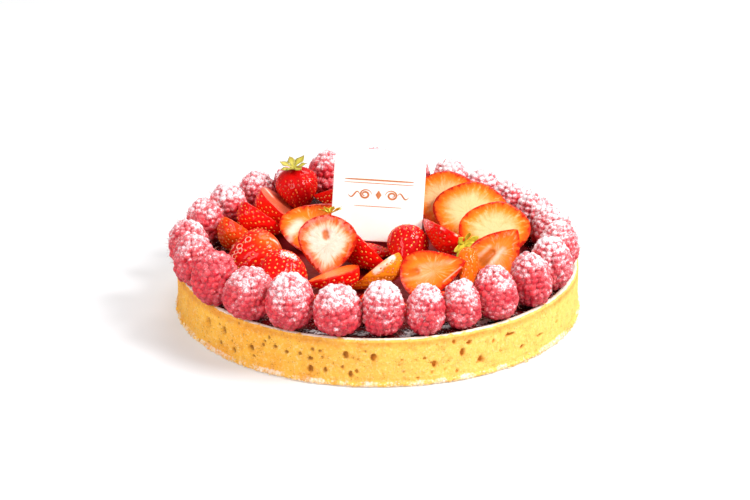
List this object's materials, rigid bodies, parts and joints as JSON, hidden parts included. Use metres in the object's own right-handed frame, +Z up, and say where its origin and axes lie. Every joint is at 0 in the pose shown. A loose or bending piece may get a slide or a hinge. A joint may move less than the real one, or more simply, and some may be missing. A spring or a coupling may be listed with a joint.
{
  "type": "strawberry tart",
  "caption": "Round shortcrust berry tart: dark jam filling, a sugared raspberry ring, glazed strawberry halves and slices, leaves and a square white chocolate plaque.",
  "frame": {"origin": "middle of the crust's flat underside, where the tart rests", "axes": "+Z up from the underside; -Y is the front, which the plaque's printed face looks towards; +X is to the right seen from the front"},
  "size_m": [0.2021, 0.2009, 0.0716],
  "materials": {
    "pastry": "baked shortcrust, dry and matte, golden yellow",
    "jam": "dark red jam, glossy, dusted with icing sugar",
    "raspberry": "pink-red, soft sheen under icing sugar",
    "strawberry": "red skin and pale orange-red cut faces under a clear glaze",
    "leaf": "yellow-green, slightly dry",
    "white_chocolate": "smooth off-white, satin"
  },
  "bodies": {
    "root": {"crust": "pastry", "jam_filling": "jam", "plaque": "white_chocolate", "leaf_whole_e": "leaf", "leaf_half_g": "leaf", "leaf_half_p": "leaf", "raspberry_01": "raspberry", "raspberry_02": "raspberry", "raspberry_03": "raspberry", "raspberry_04": "raspberry", "raspberry_05": "raspberry", "raspberry_06": "raspberry", "raspberry_07": "raspberry", "raspberry_08": "raspberry", "raspberry_09": "raspberry", "raspberry_10": "raspberry", "raspberry_11": "raspberry", "raspberry_12": "raspberry", "raspberry_13": "raspberry", "raspberry_14": "raspberry", "raspberry_15": "raspberry", "raspberry_16": "raspberry", "raspberry_17": "raspberry", "raspberry_18": "raspberry", "raspberry_19": "raspberry", "raspberry_20": "raspberry", "raspberry_21": "raspberry", "raspberry_22": "raspberry", "raspberry_23": "raspberry", "raspberry_24": "raspberry", "raspberry_25": "raspberry", "strawberry_left_a": "strawberry", "strawberry_left_b": "strawberry", "strawberry_left_c": "strawberry", "strawberry_left_d": "strawberry", "strawberry_whole_e": "strawberry", "strawberry_back_f": "strawberry", "strawberry_half_g": "strawberry", "strawberry_front_h": "strawberry", "strawberry_front_i": "strawberry", "strawberry_half_j": "strawberry", "strawberry_front_k": "strawberry", "strawberry_front_l": "strawberry", "strawberry_front_m": "strawberry", "strawberry_right_n": "strawberry", "strawberry_fan_front": "strawberry", "strawberry_fan_middle": "strawberry", "strawberry_fan_back": "strawberry", "strawberry_half_p": "strawberry", "strawberry_round_q": "strawberry", "strawberry_under_r": "strawberry", "strawberry_low_a": "strawberry", "strawberry_low_b": "strawberry", "strawberry_low_c": "strawberry", "strawberry_low_d": "strawberry", "strawberry_back_v": "strawberry", "strawberry_back_w": "strawberry", "strawberry_back_x": "strawberry", "strawberry_back_y": "strawberry", "strawberry_back_z": "strawberry"}
  },
  "joints": []
}
